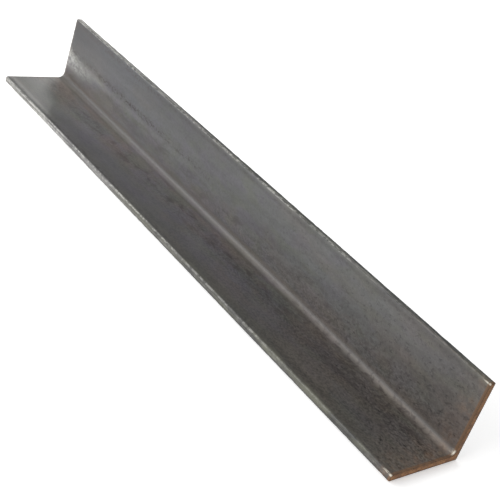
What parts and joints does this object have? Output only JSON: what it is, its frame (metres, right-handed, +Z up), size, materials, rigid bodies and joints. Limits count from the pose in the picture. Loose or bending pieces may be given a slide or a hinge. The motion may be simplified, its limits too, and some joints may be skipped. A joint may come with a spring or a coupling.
{
  "type": "metal angle section",
  "caption": "Straight length of hot-rolled steel angle with two equal legs at a right angle, a rounded root and square-cut ends.",
  "frame": {"origin": "under the middle of the length and of the flat leg's width, at floor level", "axes": "+X along the length, +Y out of the upright leg's back, +Z up the upright leg"},
  "size_m": [0.42, 0.05, 0.05],
  "materials": {
    "mill_scale_steel": "dark grey mill scale, rusty cut ends"
  },
  "bodies": {
    "root": {"angle_section": "mill_scale_steel"}
  },
  "joints": []
}
